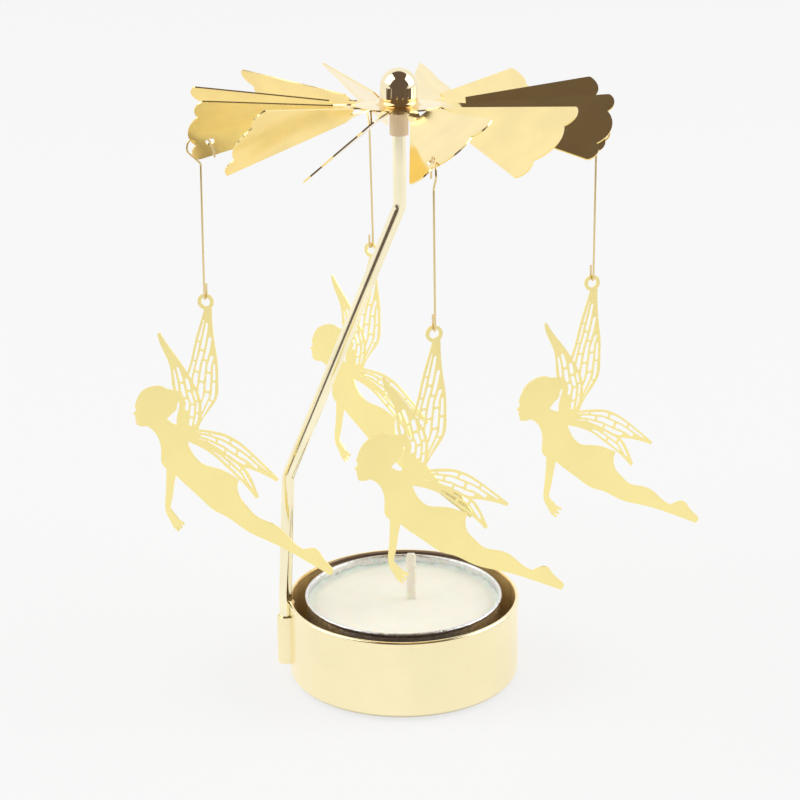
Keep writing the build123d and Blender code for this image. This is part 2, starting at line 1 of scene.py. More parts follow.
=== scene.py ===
"""Looks of a candle carousel: finishes for its metal parts, the crinkled tealight cup, its wax and wick,
and the studio that it stands in. Metres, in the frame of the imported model."""

import bpy
import numpy as np
from mathutils import Matrix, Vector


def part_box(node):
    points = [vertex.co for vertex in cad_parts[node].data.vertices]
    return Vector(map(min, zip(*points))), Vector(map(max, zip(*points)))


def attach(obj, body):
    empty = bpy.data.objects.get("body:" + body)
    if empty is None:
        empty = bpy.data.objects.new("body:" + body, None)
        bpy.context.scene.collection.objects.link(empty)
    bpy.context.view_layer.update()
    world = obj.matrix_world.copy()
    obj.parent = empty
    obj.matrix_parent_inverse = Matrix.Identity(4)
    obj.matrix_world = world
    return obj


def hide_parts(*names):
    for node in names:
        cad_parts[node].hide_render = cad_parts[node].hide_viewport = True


bl_info = {
    "name": "Candle carousel",
    "version": (1, 0, 0),
    "blender": (4, 5, 0),
    "location": "View3D > Sidebar > Carousel",
    "description": "Finishes and details of a tealight carousel with hanging fairies",
    "category": "Add Mesh",
}

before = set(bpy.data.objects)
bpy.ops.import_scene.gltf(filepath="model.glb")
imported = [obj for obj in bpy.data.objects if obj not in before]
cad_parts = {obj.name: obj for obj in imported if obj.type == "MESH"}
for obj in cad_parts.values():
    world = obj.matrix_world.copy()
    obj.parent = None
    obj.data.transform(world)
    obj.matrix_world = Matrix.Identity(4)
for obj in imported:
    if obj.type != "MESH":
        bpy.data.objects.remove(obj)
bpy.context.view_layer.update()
mm = 0.001

foil_low, foil_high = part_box("tealight_cup")
wax_low, wax_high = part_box("tealight_wax")
wick_low, wick_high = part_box("tealight_wick")
cup_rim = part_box("base_cup")[1].z
cup_inner = 21.95 * mm  # radius of the cup's inner wall
wick_middle = (wick_low + wick_high) / 2


def length(name, default, description):
    """A size that a user may change, in metres."""
    return bpy.props.FloatProperty(
        name=name, default=default, description=description, subtype="DISTANCE", unit="LENGTH", precision=5
    )


def count(name, default, description):
    """A number of things that a user may change."""
    return bpy.props.IntProperty(name=name, default=default, description=description, min=1)


def share(name, default, description):
    """A share from 0 to 1 that a user may change."""
    return bpy.props.FloatProperty(
        name=name, default=default, description=description, min=0, max=1, subtype="FACTOR"
    )


def angle(name, default, description):
    """An angle that a user may change, given in degrees."""
    return bpy.props.FloatProperty(
        name=name, default=np.radians(default), description=description, subtype="ANGLE"
    )


def place(name, default, description):
    """A place that a user may change, in metres."""
    return bpy.props.FloatVectorProperty(
        name=name, default=default, description=description, subtype="XYZ", size=3, precision=5
    )


def colour(name, default, description):
    """A colour that a user may change, as linear red, green and blue."""
    return bpy.props.FloatVectorProperty(
        name=name, default=default, description=description, subtype="COLOR", size=3, min=0, max=1
    )


class CarouselTealight(bpy.types.PropertyGroup):
    """Sizes of the tealight's foil cup, wax and wick."""

    foil_wall: length("Foil", 0.2 * mm, "Thickness of the foil")
    bead_radius: length("Rim bead", 0.35 * mm, "Radius of the rolled rim")
    bead_overhang: length("Rim overhang", 0.45 * mm, "How far the rolled rim stands out from the wall")
    crinkle_count: count("Crinkles", 64, "Main crinkles round the wall")
    crinkle_depth: length("Crinkle depth", 0.05 * mm, "How deep the wall's crinkles are")
    corner_radius: length("Foil corner", 1.2 * mm, "Radius between the wall and the floor")
    wax_drop: length("Wax below rim", 1.7 * mm, "Level of the wax below the rim")
    meniscus: length("Meniscus", 0.5 * mm, "How far the wax climbs the wall")
    meniscus_width: length("Meniscus width", 1.3 * mm, "How wide the climbing edge is")
    meniscus_waves: count("Meniscus waves", 13, "Waves along the wax's edge")
    mound_height: length("Mound", 0.5 * mm, "Height of the mound of wax round the wick")
    mound_width: length("Mound width", 1.7 * mm, "How wide the mound round the wick is")
    wax_corner: length("Wax corner", 1.2 * mm, "Bevel at the wax's foot")
    braid_pitch: length("Braid pitch", 1.1 * mm, "Length of one crossing of the wick's strands")
    braid_depth: length("Braid depth", 0.06 * mm, "How far the strands stand out")


class CarouselColours(bpy.types.PropertyGroup):
    """Colours of the finishes."""

    cup_gold: colour("Cup", (0.99, 0.88, 0.56), "Pale gold of the pressed cup")
    # The cup's two inside colours are painted light (amber at the sides) and painted shade (brown at the
    # front and back) on its inner wall.
    cup_inside_painted_light: colour("Cup inside", (1.00, 0.66, 0.24), "Amber of the cup's inner wall")
    cup_inside_painted_shade: colour("Cup back", (0.36, 0.25, 0.17), "Brown of the inner wall at the front and at the back")
    rod_gold: colour("Post", (1.00, 0.92, 0.66), "Gold of the post")
    fan_top: colour("Blade top", (1.00, 0.82, 0.40), "Gold of the blades' upper faces")
    # The blades' deeper underside gold is painted shade and reflection.
    fan_under_painted_shade: colour("Blade underside", (1.00, 0.76, 0.28), "Deeper gold of the blades' undersides")
    fairy_gold: colour("Fairy", (1.00, 0.86, 0.38), "Champagne gold of the fairies")
    dome_gold: colour("Dome", (0.93, 0.82, 0.56), "Gold of the polished dome")
    ring_gold: colour("Hub ring", (0.90, 0.66, 0.30), "Gold of the ring under the dome")
    wire_gold: colour("Wire", (0.80, 0.64, 0.34), "Gold of the hanger wires")
    sleeve_beige: colour("Sleeve", (0.84, 0.68, 0.47), "Beige of the matte sleeve")
    foil_silver: colour("Foil", (0.86, 0.87, 0.89), "Silver of the tealight's foil")
    wax_ivory: colour("Wax", (0.96, 0.93, 0.82), "Ivory of the wax")
    # The grey towards the wax's edge is painted shade.
    wax_edge_painted_shade: colour("Wax edge", (0.80, 0.78, 0.74), "Grey of the foil that shows through the wax's edge")
    needle_steel: colour("Needle", (0.62, 0.62, 0.63), "Grey of the needle")
    bearing_brass: colour("Bearing", (0.80, 0.62, 0.33), "Bare brass of the bearing")
    tin_plate: colour("Tin plate", (0.78, 0.78, 0.78), "Tin of the plate under the wick")
    wick_cream: colour("Wick", (1.00, 0.95, 0.80), "Cream of the waxed cotton")


class CarouselStudio(bpy.types.PropertyGroup):
    """Camera, floor and lamps."""

    lens: length("Focal length", 129.15 * mm, "Focal length, for a sensor 36 mm wide")
    sensor: length("Sensor", 36.0 * mm, "Width of the camera's sensor")
    camera_place: place("Camera", (-0.0003, -0.5136, 0.2470), "Where the camera stands")
    pitch: angle("Pitch", 20.29, "How far the camera looks down")
    roll: angle("Roll", -0.55, "Turn of the camera about its own axis")
    floor_radius: length("Floor radius", 3.0, "Radius of the round floor")
    table_reach: length("Table's reach", 0.43, "How far in front reflections still see a white table")
    floor_white: share("Floor white", 0.945, "Brightness of the floor and of what is behind it")
    mirror_white: share("Mirrored white", 1.0, "Brightness of the floor and the surroundings in reflections")
    floor_glow: share("Floor glow", 0.76, "Share of the floor's brightness that shadows don't touch")
    mirror_glow: share("Mirrored glow", 0.8, "The same share in reflections")
    lamp_power: bpy.props.FloatProperty(
        name="Lamp power", default=12.5, description="Power of each of the two soft lamps",
        subtype="POWER", unit="POWER",
    )
    room_brown: colour("Dark room", (0.135, 0.10, 0.085), "The dark room above and behind the camera")
    lamp_size: length("Lamp size", 1.4, "Side of each soft lamp")
    lamp_distance: length("Lamp distance", 1.6, "Distance of each soft lamp")
    lamp_target: place("Lamps' target", (0, 0, 60 * mm), "What the lamps point at")
    left_lamp: place("Left lamp", (-0.735, -0.128, 0.666), "Direction in which the left lamp stands")
    right_lamp: place("Right lamp", (0.862, 0.02, 0.506), "Direction in which the right lamp stands")
    shade_share: share("Soft shade", 0.45, "How much weaker the surroundings light matte things")


def settings(name):
    """One of the property groups, as it is set in the scene."""
    return getattr(bpy.context.scene, name)


class Wire:
    """A socket of a node tree. The usual operators on it add Math nodes."""

    def __init__(self, tree, socket):
        self.tree = tree
        self.socket = socket

    def math(self, operation, *values):
        return self.tree.node("ShaderNodeMath", {"operation": operation}, dict(enumerate(values)))

    def __add__(self, other):
        return self.math("ADD", self, other)

    def __radd__(self, other):
        return self.math("ADD", other, self)

    def __sub__(self, other):
        return self.math("SUBTRACT", self, other)

    def __rsub__(self, other):
        return self.math("SUBTRACT", other, self)

    def __mul__(self, other):
        return self.math("MULTIPLY", self, other)

    def __pow__(self, other):
        return self.math("POWER", self, other)

    def __abs__(self):
        return self.math("ABSOLUTE", self)

    def step(self, low, high):
        """0 below low, 1 above high, and a smooth rise between them."""
        smooth = {"interpolation_type": "SMOOTHSTEP"}
        ends = {"Value": self, "From Min": low, "From Max": high}
        return self.tree.node("ShaderNodeMapRange", smooth, ends)


class Tree:
    """The node tree of a material or a world, from empty."""

    def __init__(self, owner):
        owner.use_nodes = True
        self.nodes = owner.node_tree.nodes
        self.links = owner.node_tree.links
        self.nodes.clear()

    def node(self, kind, options, inputs, output=0):
        """Add a node: its options first, then the values or wires of its sockets. Returns one output."""
        made = self.nodes.new(kind)
        for name, value in options.items():
            setattr(made, name, value)
        for name, value in inputs.items():
            if isinstance(value, Wire):
                self.links.new(value.socket, made.inputs[name])
            else:
                made.inputs[name].default_value = value
        return Wire(self, made.outputs[output]) if made.outputs else made

    def place(self, kind="Object"):
        """Object coordinates, or another kind of texture coordinates, as a vector."""
        return self.node("ShaderNodeTexCoord", {}, {}, kind)

    def parts(self, vector):
        """A vector's three parts."""
        return [self.node("ShaderNodeSeparateXYZ", {}, {0: vector}, axis) for axis in "XYZ"]

    def stretched(self, vector, scale):
        """The same place with each axis scaled."""
        return self.node("ShaderNodeMapping", {}, {"Vector": vector, "Scale": scale})

    def noise(self, vector, cells, detail, roughness=0.5):
        """Noise from 0 to 1, with so many cells to a metre."""
        inputs = {"Vector": vector, "Scale": cells, "Detail": detail, "Roughness": roughness}
        return self.node("ShaderNodeTexNoise", {}, inputs, "Fac")

    def mix(self, factor, first, second):
        """Blend of two colours."""
        first = first if isinstance(first, Wire) else (*first, 1)
        second = second if isinstance(second, Wire) else (*second, 1)
        return self.node("ShaderNodeMix", {"data_type": "RGBA"}, {0: factor, 6: first, 7: second}, 2)

    def bump(self, height, distance, strength):
        """A normal from a height that runs from 0 to 1."""
        return self.node("ShaderNodeBump", {}, {"Height": height, "Distance": distance, "Strength": strength})

    def surface(self, **inputs):
        """The surface shader, with underscores for the spaces of its sockets' names."""
        sockets = {name.replace("_", " "): value for name, value in inputs.items()}
        for name, value in sockets.items():
            if name.endswith("Color") and not isinstance(value, Wire):
                sockets[name] = (*value, 1)
        shader = self.node("ShaderNodeBsdfPrincipled", {}, sockets)
        self.node("ShaderNodeOutputMaterial", {}, {"Surface": shader})


def material(name):
    """A new material and its empty tree."""
    made = bpy.data.materials.new(name)
    return made, Tree(made)


def paint(node, made):
    """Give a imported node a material."""
    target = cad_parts[node]
    for slot in target.material_slots:
        slot.material = made


def tinted(base, factor):
    """A colour made darker or lighter."""
    return tuple(min(1.0, part * factor) for part in base)


def pressed_gold():
    """Satin lacquer over pressed tin: faint upright drawing marks, soft clouds and a few fine pits.

    The rolled rim is rubbed bright and painted shade darkens the foot. The inner wall has painted light,
    amber, at the sides and painted shade, brown, at the front and at the back.
    """
    made, tree = material("pressed_gold")
    colours = settings("carousel_colours")
    where = tree.place()
    x, y, z = tree.parts(where)
    cloud = tree.noise(where, cells=60.0, detail=3.0)
    marks = tree.noise(tree.stretched(where, (1.0, 1.0, 0.08)), cells=2600.0, detail=2.0)
    pits = tree.noise(where, cells=5200.0, detail=1.0).step(0.74, 0.80)
    base = tree.mix(cloud.step(0.3, 0.7), colours.cup_gold, tinted(colours.cup_gold, 0.95))
    base = tree.mix(pits * 0.5, base, tinted(colours.cup_gold, 0.55))
    radius = (x * x + y * y) ** 0.5
    # Painted light and shade on the inner wall: amber at the sides with painted reflection streaks, brown at
    # the front and at the back.
    inside = (1 - radius.step(cup_inner - 0.02 * mm, cup_inner + 0.08 * mm)) * z.step(1 * mm, 2 * mm)
    streaks = tree.noise(tree.stretched(where, (1.0, 1.0, 0.03)), cells=420.0, detail=1.0).step(0.35, 0.65)
    amber = tree.mix(streaks, tinted(colours.cup_inside_painted_light, 0.8), colours.cup_inside_painted_light)
    amber = tree.mix(abs(x).step(13 * mm, 18 * mm), colours.cup_inside_painted_shade, amber)
    base = tree.mix(inside, base, amber)
    # Painted shade: the cup is darkened towards its foot, where it meets the floor.
    foot = 1 - z.step(0.7 * mm, 1.5 * mm)
    base = tree.mix(foot * 0.8, base, tinted(colours.cup_gold, 0.35))
    rim = z.step(cup_rim - 1.2 * mm, cup_rim - 0.7 * mm)
    height = marks * 0.4 + cloud * 0.6 - pits * 0.5
    tree.surface(
        Base_Color=base, Metallic=1 - inside * 0.75, Roughness=(0.26 + cloud * 0.08) * (1 - rim * 0.65),
        Normal=tree.bump(height, distance=0.03 * mm, strength=0.5), Coat_Weight=0.25, Coat_Roughness=0.12,
    )
    return made


def drawn_gold(name, base, roughness, grain):
    """Drawn rod or wire: bright gold with fine marks along its length."""
    made, tree = material(name)
    where = tree.place()
    marks = tree.noise(tree.stretched(where, (1.0, 1.0, 0.05)), cells=grain, detail=2.0)
    cloud = tree.noise(where, cells=90.0, detail=2.0)
    shade = tree.mix(cloud.step(0.35, 0.65), base, tinted(base, 0.93))
    tree.surface(
        Base_Color=shade, Metallic=1.0, Roughness=roughness + marks * 0.05,
        Normal=tree.bump(marks, distance=0.01 * mm, strength=0.35),
    )
    return made


def blade_gold():
    """Bright plated sheet: pale above and deeper under as painted shade and reflection, with the slow waves
    of rolled sheet.
    """
    made, tree = material("blade_gold")
    colours = settings("carousel_colours")
    where = tree.place()
    up = tree.parts(tree.place("Normal"))[2]
    waves = tree.noise(where, cells=55.0, detail=1.0)
    cloud = tree.noise(where, cells=140.0, detail=3.0)
    scratches = tree.noise(tree.stretched(where, (1.0, 0.12, 1.0)), cells=3000.0, detail=1.0)
    top = tree.mix(cloud.step(0.35, 0.7), colours.fan_top, tinted(colours.fan_top, 0.94))
    under = tree.mix(cloud.step(0.35, 0.7), colours.fan_under_painted_shade, tinted(colours.fan_under_painted_shade, 0.92))
    tree.surface(
        # Painted shade and reflection: the undersides get the deeper gold.
        Base_Color=tree.mix(up.step(-0.05, 0.05), under, top), Metallic=1.0,
        Roughness=0.10 + scratches * 0.05, Normal=tree.bump(waves, distance=0.9 * mm, strength=0.6),
    )
    return made


def etched_gold():
    """Etched sheet with a matte plating: very fine grain and a faint cloudiness."""
    made, tree = material("etched_gold")
    colours = settings("carousel_colours")
    where = tree.place()
    grain = tree.noise(where, cells=6000.0, detail=2.0)
    cloud = tree.noise(where, cells=120.0, detail=3.0)
    base = tree.mix(cloud.step(0.3, 0.7), colours.fairy_gold, tinted(colours.fairy_gold, 0.97))
    tree.surface(
        Base_Color=base, Metallic=1.0, Roughness=0.26 + grain * 0.08,
        Normal=tree.bump(grain, distance=0.01 * mm, strength=0.4),
    )
    return made


def polished_gold(name, base, roughness):
    """Polished or turned gold with hair-fine rings."""
    made, tree = material(name)
    where = tree.place()
    rings = tree.noise(tree.stretched(where, (0.02, 0.02, 1.0)), cells=9000.0, detail=1.0)
    cloud = tree.noise(where, cells=200.0, detail=2.0)
    tree.surface(
        Base_Color=tree.mix(cloud.step(0.4, 0.7), base, tinted(base, 0.96)), Metallic=1.0,
        Roughness=roughness + rings * 0.03, Normal=tree.bump(rings, distance=0.004 * mm, strength=0.3),
    )
    return made


def matte_sleeve():
    """Blasted sleeve: a dull warm grey with a fine even grain."""
    made, tree = material("matte_sleeve")
    base = settings("carousel_colours").sleeve_beige
    where = tree.place()
    grain = tree.noise(where, cells=5000.0, detail=3.0)
    tree.surface(
        Base_Color=tree.mix(grain, tinted(base, 0.86), tinted(base, 1.1)), Metallic=0.55,
        Roughness=0.55 + grain * 0.1, Normal=tree.bump(grain, distance=0.02 * mm, strength=0.6),
    )
    return made


def plain_metal(name, base, roughness):
    """Bare turned or rolled metal with light marks."""
    made, tree = material(name)
    where = tree.place()
    marks = tree.noise(tree.stretched(where, (1.0, 1.0, 6.0)), cells=1500.0, detail=2.0)
    tree.surface(
        Base_Color=tree.mix(marks, tinted(base, 0.9), base), Metallic=1.0, Roughness=roughness + marks * 0.08,
        Normal=tree.bump(marks, distance=0.01 * mm, strength=0.4),
    )
    return made


def foil_silver():
    """Thin drawn aluminium: soft sheen with fine dents and faint upright streaks."""
    made, tree = material("foil_silver")
    base = settings("carousel_colours").foil_silver
    where = tree.place()
    dents = tree.noise(where, cells=900.0, detail=3.0, roughness=0.6)
    streaks = tree.noise(tree.stretched(where, (1.0, 1.0, 0.1)), cells=3000.0, detail=2.0)
    tree.surface(
        Base_Color=tree.mix(streaks, tinted(base, 0.86), base), Metallic=1.0, Roughness=0.20 + dents * 0.2,
        Normal=tree.bump(dents, distance=0.3 * mm, strength=0.9),
    )
    return made


def ivory_wax():
    """Poured wax: slightly clear, with painted shade greying its thin edge, faint clouds and a soft skin."""
    made, tree = material("ivory_wax")
    colours = settings("carousel_colours")
    base = colours.wax_ivory
    where = tree.place()
    x, y, _ = tree.parts(where)
    cloud = tree.noise(where, cells=130.0, detail=3.0)
    skin = tree.noise(where, cells=900.0, detail=2.0)
    radius = (x * x + y * y) ** 0.5
    # Painted shade greys the wax towards its edge at the foil wall.
    edge = radius.step(16.0 * mm, 18.6 * mm)
    shade = tree.mix(cloud.step(0.3, 0.75), base, tinted(base, 1.04))
    shade = tree.mix(edge * 0.35, shade, colours.wax_edge_painted_shade)
    tree.surface(
        Base_Color=shade, Roughness=0.38 + skin * 0.12,
        Normal=tree.bump(skin * 0.3 + cloud * 0.7, distance=0.08 * mm, strength=0.5),
        Subsurface_Weight=0.35, Subsurface_Scale=3 * mm, Specular_IOR_Level=0.4,
    )
    return made


def cotton_wick():
    """Waxed cotton: cream strands with darker valleys between them."""
    made, tree = material("cotton_wick")
    base = settings("carousel_colours").wick_cream
    where = tree.place()
    fibres = tree.noise(tree.stretched(where, (1.0, 1.0, 0.25)), cells=7000.0, detail=3.0)
    tree.surface(
        Base_Color=tree.mix(fibres, tinted(base, 0.9), base), Roughness=0.6 + fibres * 0.2,
        Normal=tree.bump(fibres, distance=0.05 * mm, strength=0.7),
        Subsurface_Weight=0.2, Subsurface_Scale=1 * mm,
    )
    return made


def closed_grid(points, first_pole, last_pole):
    """Faces over rows of points that go all the way round: quads between rows and a fan to each pole."""
    rows, around, _ = points.shape
    vertices = np.vstack([points.reshape(-1, 3), first_pole, last_pole])
    row, column = np.meshgrid(np.arange(rows - 1), np.arange(around), indexing="ij")
    after = (column + 1) % around
    this_row, next_row = row * around, (row + 1) * around
    quads = np.stack([this_row + column, this_row + after, next_row + after, next_row + column], -1)
    ring = np.arange(around)
    ahead = (ring + 1) % around
    first, last = rows * around, rows * around + 1
    last_row = (rows - 1) * around
    start_fan = np.stack([np.full(around, first), ahead, ring], -1)
    end_fan = np.stack([np.full(around, last), last_row + ring, last_row + ahead], -1)
    return vertices, quads.reshape(-1, 4), np.vstack([start_fan, end_fan])


def enclosed(vertices, triangles):
    """Six times the volume inside the triangles, negative if they face inwards."""
    first, second, third = (vertices[triangles[:, corner]] for corner in range(3))
    return (first * np.cross(second, third)).sum()


def build_mesh(name, points, first_pole, last_pole):
    """A closed object from a grid of points, with its faces turned outwards."""
    vertices, quads, fans = closed_grid(points, first_pole, last_pole)
    mesh = bpy.data.meshes.new(name)
    mesh.from_pydata(vertices.tolist(), [], quads.tolist() + fans.tolist())
    mesh.polygons.foreach_set("use_smooth", np.full(len(mesh.polygons), True))
    mesh.update()
    made = bpy.data.objects.new(name, mesh)
    bpy.context.scene.collection.objects.link(made)
    if enclosed(vertices, np.vstack([fans, quads[:, :3], quads[:, (0, 2, 3)]])) < 0:
        mesh.flip_normals()
    return made


def finish_piece(made, finish, node, body):
    """Dress a new piece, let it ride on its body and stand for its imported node."""
    made.data.materials.append(finish)
    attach(made, body)
    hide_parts(node)


def arc(center, radius, start, end, steps):
    """Points of an arc in a section: radius and height, with angles in degrees."""
    angle = np.radians(np.linspace(start, end, steps))
    return np.stack([center[0] + radius * np.cos(angle), center[1] + radius * np.sin(angle)], -1)


def run(start, end, steps):
    """Evenly spaced points of a straight stretch, without its ends."""
    shares = np.linspace(0, 1, steps + 2)[1:-1, None]
    return np.asarray(start) * (1 - shares) + np.asarray(end) * shares


class CAROUSEL_OT_foil(bpy.types.Operator):
    """Make the tealight's crinkled foil cup"""

    bl_idname = "carousel.foil"
    bl_label = "Tealight foil"

    def execute(self, context):
        made = settings("carousel_tealight")
        top, floor = foil_high.z, foil_low.z
        bead = made.bead_radius
        wall = foil_high.x - made.bead_overhang
        inner = wall - made.foil_wall
        corner = made.corner_radius
        bead_center = (foil_high.x - bead, top - bead)
        outside = np.vstack([
            arc((wall - corner, floor + corner), corner, -90, 0, 8),
            run((wall, floor + corner), (wall, top - 2 * bead), 30),
        ])
        inside = np.vstack([
            run((inner, top - 1.4 * bead), (inner, floor + corner), 30),
            arc((wall - corner, floor + corner), corner - made.foil_wall, 0, -90, 8),
        ])
        section = np.vstack([outside, arc(bead_center, bead, -120, 170, 14), inside])
        around = np.linspace(0, 2 * np.pi, 900, endpoint=False)
        radius = np.repeat(section[:, :1], len(around), 1)
        height = np.repeat(section[:, 1:], len(around), 1)
        # The wall's radius follows three sets of waves that drift with height and fade at both ends
        fade = np.clip((height - floor - corner) / (2 * mm), 0, 1)
        fade = fade * np.clip((top - 2 * bead - height) / (0.5 * mm), 0, 1)
        drift = height / (9 * mm)
        main = made.crinkle_count
        waves = (
            np.sin(main * around + 1.7 * np.sin(3 * around + drift))
            + 0.6 * np.sin(1.63 * main * around + 2.4 * np.sin(5 * around) + 2 * drift)
            + 0.4 * np.sin(0.37 * main * around + 3 * drift)
        )
        radius = radius + made.crinkle_depth * fade * np.round(waves, 3)
        points = np.stack([radius * np.cos(around), radius * np.sin(around), height], -1)
        poles = (0, 0, floor), (0, 0, floor + made.foil_wall)
        piece = build_mesh("tealight_foil", points, *poles)
        finish_piece(piece, foil_silver(), "tealight_cup", "tealight")
        return {"FINISHED"}


class CAROUSEL_OT_wax(bpy.types.Operator):
    """Make the wax with its wavy climbing edge"""

    bl_idname = "carousel.wax"
    bl_label = "Tealight wax"

    def execute(self, context):
        made = settings("carousel_tealight")
        level = foil_high.z - made.wax_drop
        outer = wax_high.x + 0.05 * mm
        around = np.linspace(0, 2 * np.pi, 360, endpoint=False)
        waves = made.meniscus_waves
        # The climb at the wall swells and sinks along two slow waves, and so does its width
        swell = 0.3 * np.sin(waves * around + 1.3 * np.sin(2 * around)) + 0.2 * np.sin(2.6 * waves * around)
        swell = 0.5 + swell
        climb = made.meniscus * (0.45 + 1.1 * swell)
        width = made.meniscus_width * (0.6 + 0.8 * swell)
        middle = np.linspace(1 * mm, outer - 2.4 * mm, 24)
        border = np.linspace(outer - 2.3 * mm, outer, 16)
        radius = np.repeat(np.concatenate([middle, border])[:, None], len(around), 1)
        rise = np.clip((radius - (outer - width)) / width, 0, 1)
        dish = 0.12 * mm * np.cos(np.pi * radius / outer) + 0.05 * mm * np.sin(3 * around + radius / (4 * mm))
        east, north = np.cos(around), np.sin(around)
        from_wick = np.hypot(radius * east - wick_middle.x, radius * north - wick_middle.y)
        near_wick = made.mound_height * np.exp(-((from_wick / made.mound_width) ** 2))
        height = level - 0.1 * mm + dish + near_wick + climb * rise**2
        low = wax_low.z
        inset = outer - made.wax_corner
        side = np.linspace(level - 0.6 * mm, low + made.wax_corner, 8)
        top = np.stack([radius * east, radius * north, height], -1)
        sides = np.stack(np.broadcast_arrays(outer * east, outer * north, side[:, None]), -1)
        foot = np.stack([inset * east, inset * north, np.full_like(around, low)], -1)
        points = np.concatenate([top, sides, foot[None]])
        piece = build_mesh("wax", points, (0, 0, height[0].mean()), (0, 0, low))
        finish_piece(piece, ivory_wax(), "tealight_wax", "tealight")
        return {"FINISHED"}


class CAROUSEL_OT_wick(bpy.types.Operator):
    """Make the flat braided wick"""

    bl_idname = "carousel.wick"
    bl_label = "Tealight wick"

    def execute(self, context):
        made = settings("carousel_tealight")
        half_width = (wick_high.x - wick_low.x) / 2 - made.braid_depth
        half_depth = (wick_high.y - wick_low.y) / 2 - made.braid_depth
        height = np.linspace(wick_low.z, wick_high.z, 240)[:, None]
        around = np.linspace(0, 2 * np.pi, 96, endpoint=False)
        # A rounded oblong section, raised where the two families of strands cross over
        squareness = 0.62
        east = np.sign(np.cos(around)) * np.abs(np.cos(around)) ** squareness
        north = np.sign(np.sin(around)) * np.abs(np.sin(around)) ** squareness
        turn = 2 * np.pi * height / made.braid_pitch
        strands = np.maximum(np.sin(3 * around + turn), np.sin(3 * around - turn))
        worn = 1 - 0.25 * np.clip((height - wick_high.z + 0.8 * mm) / (0.8 * mm), 0, 1) ** 2
        swell = made.braid_depth * strands
        x = wick_middle.x + (half_width + swell) * east * worn
        y = wick_middle.y + (half_depth + swell) * north * worn
        points = np.stack(np.broadcast_arrays(x, y, height), -1)
        poles = ((wick_middle.x, wick_middle.y, end.z) for end in (wick_low, wick_high))
        piece = build_mesh("wick_braid", points, *poles)
        finish_piece(piece, cotton_wick(), "tealight_wick", "tealight")
        return {"FINISHED"}


class CAROUSEL_OT_stand(bpy.types.Operator):
    """Finish the cup, the post, its sleeve and the needle"""

    bl_idname = "carousel.stand"
    bl_label = "Stand"

    def execute(self, context):
        colours = settings("carousel_colours")
        paint("base_cup", pressed_gold())
        paint("post", drawn_gold("post_gold", colours.rod_gold, 0.10, 2400.0))
        paint("needle_collar", matte_sleeve())
        paint("needle", plain_metal("needle_steel", colours.needle_steel, 0.25))
        paint("wick_sustainer", plain_metal("tin_plate", colours.tin_plate, 0.3))
        return {"FINISHED"}


class CAROUSEL_OT_fan(bpy.types.Operator):
    """Finish the fan, its dome, ring and bearing"""

    bl_idname = "carousel.fan"
    bl_label = "Fan"

    def execute(self, context):
        colours = settings("carousel_colours")
        paint("rotor_fan", blade_gold())
        paint("dome_cap", polished_gold("dome_gold", colours.dome_gold, 0.03))
        paint("hub_ring", polished_gold("ring_gold", colours.ring_gold, 0.12))
        paint("bearing_cup", plain_metal("turned_brass", colours.bearing_brass, 0.25))
        return {"FINISHED"}


class CAROUSEL_OT_figures(bpy.types.Operator):
    """Finish the wire hangers and the fairies"""

    bl_idname = "carousel.figures"
    bl_label = "Hangers and fairies"

    def execute(self, context):
        wire = drawn_gold("wire_gold", settings("carousel_colours").wire_gold, 0.12, 4000.0)
        sheet = etched_gold()
        for place in ("right", "back", "left", "front"):
            paint("hanger_" + place, wire)
            paint("fairy_" + place, sheet)
        return {"FINISHED"}


